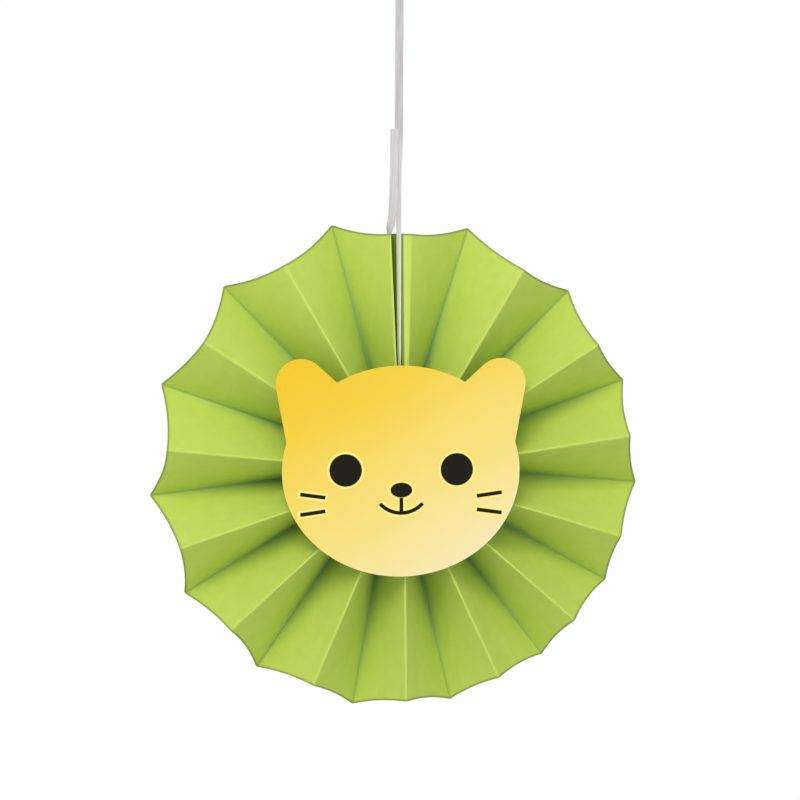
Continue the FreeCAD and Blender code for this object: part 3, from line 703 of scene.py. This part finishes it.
def printed_card():
    """Coated card, offset printed: a golden yellow that fades to cream towards the lower
    right, a low even gloss and a pale core that shows on the cut edge."""
    material, tree = start_material("coated_yellow_card")
    place = add(tree, "ShaderNodeTexCoord", {}, "Object")
    right = add(tree, "ShaderNodeSeparateXYZ", {"Vector": place}, "X")
    up = add(tree, "ShaderNodeSeparateXYZ", {"Vector": place}, "Z")
    # From the card's middle the printed fade grows by 3.1 per metre to the right and by
    # 5.2 per metre down, so it runs over 165 mm.
    across = add(tree, MATH, {0: right, 1: 3.1, 2: -3.1 * CARD_MIDDLE[0] * MM},
                 operation="MULTIPLY_ADD")
    down = add(tree, MATH, {0: up, 1: -5.2, 2: 5.2 * CARD_MIDDLE[1] * MM},
               operation="MULTIPLY_ADD")
    slant = add(tree, MATH, {0: across, 1: down}, operation="ADD")
    # Coated card is even to the eye: its tone drifts over about 60 mm.
    tone = add(tree, NOISE, {"Vector": place, "Scale": 1 / (60.0 * MM), "Detail": 1.0})
    drift = add(tree, MATH, {0: tone, 1: 0.10, 2: 0.45}, operation="MULTIPLY_ADD")
    fade = add(tree, MATH, {0: slant, 1: drift}, operation="ADD", use_clamp=True)
    base = add(tree, RAMP, {"Fac": fade}, stops=[
        (0.0, "#edc200"), (0.22, "#f0cb30"), (0.42, "#f2d562"), (0.6, "#f4dc7a"),
        (0.8, "#f5e3a0"), (1.0, "#f5e8c2")])
    # The screen of the offset print is 0.17 mm fine and is drawn 0.8 mm coarse.
    grain = add(tree, NOISE, {
        "Vector": place, "Scale": 1 / (0.8 * MM), "Detail": 3.0, "Roughness": 0.6})
    light = add(tree, MATH, {0: grain, 1: 0.05}, operation="MULTIPLY")
    base = add(tree, MIX, {0: light, 6: base, 7: "#fff6d8"}, 2, data_type="RGBA")
    normal = add(tree, "ShaderNodeTexCoord", {}, "Normal")
    facing = add(tree, "ShaderNodeSeparateXYZ", {"Vector": normal}, "Y")
    core = add(tree, MATH, {0: facing, 1: -0.5}, operation="GREATER_THAN")
    base = add(tree, MIX, {0: core, 6: base, 7: "#f1e8cc"}, 2, data_type="RGBA")
    back = add(tree, MATH, {0: facing, 1: 0.5}, operation="GREATER_THAN")
    base = add(tree, MIX, {0: back, 6: base, 7: "#f4f1e6"}, 2, data_type="RGBA")
    # Card of this weight waves very slightly over about 14 mm.
    wave = add(tree, NOISE, {"Vector": place, "Scale": 1 / (14.0 * MM), "Detail": 1.0})
    relief = add(tree, BUMP, {"Height": wave, "Distance": 0.2 * MM, "Strength": 0.25})
    shader = add(tree, PRINCIPLED, {
        "Base Color": base, "Roughness": 0.38, "IOR": 1.5, "Specular IOR Level": 0.2,
        "Normal": relief})
    add(tree, "ShaderNodeOutputMaterial", {"Surface": shader})
    return material


def ink(name, light, dark, rough):
    """Offset ink on coated card: a dense even film with a faint speckle."""
    material, tree = start_material(name)
    place = add(tree, "ShaderNodeTexCoord", {}, "Object")
    # The speckle of offset ink is drawn 0.9 mm coarse so that it shows.
    speckle = add(tree, NOISE, {
        "Vector": place, "Scale": 1 / (0.9 * MM), "Detail": 3.0, "Roughness": 0.7})
    base = add(tree, RAMP, {"Fac": speckle}, stops=[(0.35, dark), (0.75, light)])
    shader = add(tree, PRINCIPLED, {
        "Base Color": base, "Roughness": rough, "IOR": 1.5, "Specular IOR Level": 0.12})
    add(tree, "ShaderNodeOutputMaterial", {"Surface": shader})
    return material


def woven_ribbon(name, tones):
    """Narrow polyester satin ribbon, woven and heat-set: a soft silvery sheen that follows
    the warp, partly painted as pale streaks, fine cross ribs and slightly raised selvedges.
    Tones are stops of its colour, with any painted light, along its length, from 0 to
    RIBBON_SPAN mm."""
    material, tree = start_material(name)
    strip = add(tree, "ShaderNodeUVMap", {}, "UV", uv_map="strip")
    across = add(tree, "ShaderNodeSeparateXYZ", {"Vector": strip}, "X")
    along = add(tree, "ShaderNodeSeparateXYZ", {"Vector": strip}, "Y")
    # Weft threads of satin lie 0.1 mm apart; they are drawn 0.4 mm apart so that they show.
    rib = add(tree, "ShaderNodeTexWave", {
        "Vector": strip, "Scale": 40.0, "Distortion": 0.4}, "Fac",
        wave_type="BANDS", bands_direction="Y")
    # Painted sheen: light and dark streaks along the satin's warp, about 25 mm long and 1 mm
    # wide.
    stretch = add(tree, "ShaderNodeVectorMath", {0: strip, 1: (5.0, 4.0, 1.0)},
                  operation="MULTIPLY")
    streak = add(tree, NOISE, {"Vector": stretch, "Scale": 1.0, "Detail": 2.0})
    reach = add(tree, MATH, {0: along, 1: 100.0 / RIBBON_SPAN}, operation="MULTIPLY")
    base = add(tree, RAMP, {"Fac": reach}, stops=tones)
    warp_sheen = add(tree, MATH, {0: streak, 1: 0.9, 2: -0.30}, operation="MULTIPLY_ADD",
                use_clamp=True)
    base = add(tree, MIX, {0: warp_sheen, 6: base, 7: "#f1eff1"}, 2, data_type="RGBA")
    thread = add(tree, MATH, {0: rib, 1: 0.06}, operation="MULTIPLY")
    base = add(tree, MIX, {0: thread, 6: base, 7: "#e4e2e4"}, 2, data_type="RGBA")
    # The selvedge is the outer 0.6 mm of either side and turns paler over 0.4 mm.
    side = add(tree, MATH, {0: across, 1: 0.5}, operation="SUBTRACT")
    off = add(tree, MATH, {0: side}, operation="ABSOLUTE")
    edge = add(tree, MATH, {0: off, 1: 12.0, 2: -12.0 * 0.38}, operation="MULTIPLY_ADD",
               use_clamp=True)
    selvedge = add(tree, MATH, {0: edge, 1: 0.35}, operation="MULTIPLY")
    base = add(tree, MIX, {0: selvedge, 6: base, 7: "#dcdade"}, 2, data_type="RGBA")
    relief = add(tree, BUMP, {"Height": rib, "Distance": 0.04 * MM, "Strength": 0.35})
    shader = add(tree, PRINCIPLED, {
        "Base Color": base, "Roughness": 0.42, "Sheen Weight": 0.2, "Normal": relief})
    add(tree, "ShaderNodeOutputMaterial", {"Surface": shader})
    return material


def adhesive_foam():
    """White polyethylene foam tape, closed cells, matt."""
    material, tree = start_material("closed_cell_foam")
    place = add(tree, "ShaderNodeTexCoord", {}, "Object")
    # Cells of polyethylene foam are about 0.7 mm across.
    cells = add(tree, "ShaderNodeTexVoronoi", {
        "Vector": place, "Scale": 1 / (0.7 * MM)}, "Distance")
    base = add(tree, RAMP, {"Fac": cells}, stops=[(0.0, "#f1f0ea"), (0.7, "#d9d7cf")])
    relief = add(tree, BUMP, {"Height": cells, "Distance": 0.1 * MM, "Strength": 0.5})
    shader = add(tree, PRINCIPLED, {"Base Color": base, "Roughness": 0.85, "Normal": relief})
    add(tree, "ShaderNodeOutputMaterial", {"Surface": shader})
    return material


def film_tape():
    """Clear acrylic film tape with a milky look over paper."""
    material, tree = start_material("acrylic_film_tape")
    place = add(tree, "ShaderNodeTexCoord", {}, "Object")
    # Trapped air under acrylic tape leaves milky spots about 3 mm across.
    spots = add(tree, NOISE, {"Vector": place, "Scale": 1 / (3.0 * MM)})
    base = add(tree, RAMP, {"Fac": spots}, stops=[(0.3, "#cfd6b4"), (0.7, "#dde2c8")])
    shader = add(tree, PRINCIPLED, {"Base Color": base, "Roughness": 0.35})
    add(tree, "ShaderNodeOutputMaterial", {"Surface": shader})
    return material


def back_card():
    """Uncoated green card, die-cut: fine felt grain, a little duller than the paper."""
    material, tree = start_material("uncoated_green_card")
    place = add(tree, "ShaderNodeTexCoord", {}, "Object")
    # The felt mark of uncoated card is about 1.2 mm coarse.
    grain = add(tree, NOISE, {
        "Vector": place, "Scale": 1 / (1.2 * MM), "Detail": 4.0, "Roughness": 0.65})
    base = add(tree, RAMP, {"Fac": grain}, stops=[(0.3, "#a3bf47"), (0.7, "#b3cd58")])
    relief = add(tree, BUMP, {"Height": grain, "Distance": 0.08 * MM, "Strength": 0.6})
    shader = add(tree, PRINCIPLED, {"Base Color": base, "Roughness": 0.8, "Normal": relief})
    add(tree, "ShaderNodeOutputMaterial", {"Surface": shader})
    return material


def dress(piece, *materials):
    """Gives a piece its materials in order."""
    piece.data.materials.clear()
    for material in materials:
        piece.data.materials.append(material)


def redress(node, material):
    """Gives a CAD node's object a better material in its one slot."""
    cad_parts[node].material_slots[0].material = material


# Surroundings.

def see_white(tree):
    """1 for rays of the camera, of reflections and of clear things, else 0."""
    eye = add(tree, "ShaderNodeLightPath", {}, "Is Camera Ray")
    mirror = add(tree, "ShaderNodeLightPath", {}, "Is Glossy Ray")
    clear = add(tree, "ShaderNodeLightPath", {}, "Is Transmission Ray")
    seen = add(tree, MATH, {0: eye, 1: mirror}, operation="MAXIMUM")
    return add(tree, MATH, {0: seen, 1: clear}, operation="MAXIMUM")


def white_room(level):
    """A world that is pure white to the eye and lights the object evenly at a level."""
    world = bpy.data.worlds.new("studio")
    world.use_nodes = True
    tree = world.node_tree
    tree.nodes.clear()
    seen = see_white(tree)
    strength = add(tree, MATH, {0: seen, 1: 1.0 - level, 2: level}, operation="MULTIPLY_ADD")
    tint = add(tree, MIX, {0: seen, 6: ROOM_TINT, 7: "#ffffff"}, 2, data_type="RGBA")
    glow = add(tree, "ShaderNodeBackground", {"Strength": strength, "Color": tint})
    add(tree, "ShaderNodeOutputWorld", {"Surface": glow})
    bpy.context.scene.world = world


def pale_floor():
    """A round pale floor below the fan that turns to pure white towards its edge."""
    steps = 96
    radius = 1.45
    low = -0.86
    white_from = 0.55
    angle = np.arange(steps) / steps * 2 * np.pi
    # The innermost ring is all but a point.
    rings = np.array([0.0001, 0.3, 0.6, 0.9, 1.0]) * radius
    points = np.stack([
        rings[:, None] * np.cos(angle), rings[:, None] * np.sin(angle),
        np.full((len(rings), steps), low)], axis=-1).reshape(-1, 3)
    floor = new_piece("floor", points, grid_quads(len(rings), steps, wrap=True))
    material, tree = start_material("pale_floor")
    place = add(tree, "ShaderNodeTexCoord", {}, "Object")
    flat = add(tree, "ShaderNodeVectorMath", {0: place, 1: (1.0, 1.0, 0.0)},
               operation="MULTIPLY")
    far = add(tree, "ShaderNodeVectorMath", {0: flat}, "Value", operation="LENGTH")
    # From there the floor's glow grows by 1.25 per metre, so it is white 0.8 m further out.
    edge = add(tree, MATH, {0: far, 1: 1.25, 2: -1.25 * white_from},
               operation="MULTIPLY_ADD", use_clamp=True)
    share = add(tree, MATH, {0: see_white(tree), 1: edge}, operation="MULTIPLY")
    matt = add(tree, "ShaderNodeBsdfDiffuse", {"Color": "#f4f4f2"})
    glow = add(tree, "ShaderNodeEmission", {"Color": "#ffffff", "Strength": share})
    both = add(tree, "ShaderNodeAddShader", {0: matt, 1: glow})
    add(tree, "ShaderNodeOutputMaterial", {"Surface": both})
    dress(floor, material)


def soft_lamp(name, spot, size, power, tint):
    """A square softbox that looks at the fan; size in metres, power in watts."""
    data = bpy.data.lights.new(name, "AREA")
    data.shape = "SQUARE"
    data.size = size
    data.energy = power
    data.color = colour(tint)[:3]
    lamp = bpy.data.objects.new(name, data)
    lamp.location = spot
    aim = Vector((0.0, 0.0, HUB[2] * MM)) - Vector(spot)
    lamp.rotation_euler = aim.to_track_quat("-Z", "Y").to_euler()
    bpy.context.scene.collection.objects.link(lamp)


# The scene.

PAPER_LIME = craft_paper()
PAPER_CUT = cut_paper()
# Tones from the lower end up: white in the slot, which is painted light, greyer where it hangs
# free.
RUN_RIBBON = woven_ribbon("satin_ribbon", [
    (0.0, "#f4f5ef"), (0.40, "#f0f1ec"), (0.46, "#cfcdcf"), (0.60, "#c9c7c9"),
    (0.66, "#aaa6ab"), (1.0, "#aeaaaf")])
TAIL_RIBBON = woven_ribbon("satin_ribbon_tail", [(0.0, "#bebbbf"), (0.5, "#c1bfc1")])

aim_camera()
hang_ribbon()

fan = fold_paper_fan()
dress(fan, PAPER_LIME, PAPER_CUT)
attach(fan, "root")
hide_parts("pleated_fan")

redress("face_card", printed_card())
redress("print_halo", ink("pale_yellow_ink", "#fdf08e", "#fbe97a", 0.4))
redress("face_print", ink("black_ink", "#151303", "#0b0a00", 0.55))
redress("foam_pad", adhesive_foam())
redress("seam_tape", adhesive_foam())
redress("back_disc", back_card())
redress("back_tape", film_tape())
redress("tail_tape", film_tape())
redress("join_tape", film_tape())

white_room(level=0.50)
pale_floor()
soft_lamp("key", spot=(-0.5, -1.6, 0.9), size=0.9, power=21.5, tint="#fff7ea")
soft_lamp("fill", spot=(0.2, -2.0, 0.1), size=1.2, power=6.5, tint="#ffffff")

view = bpy.context.scene.view_settings
view.view_transform = "Standard"
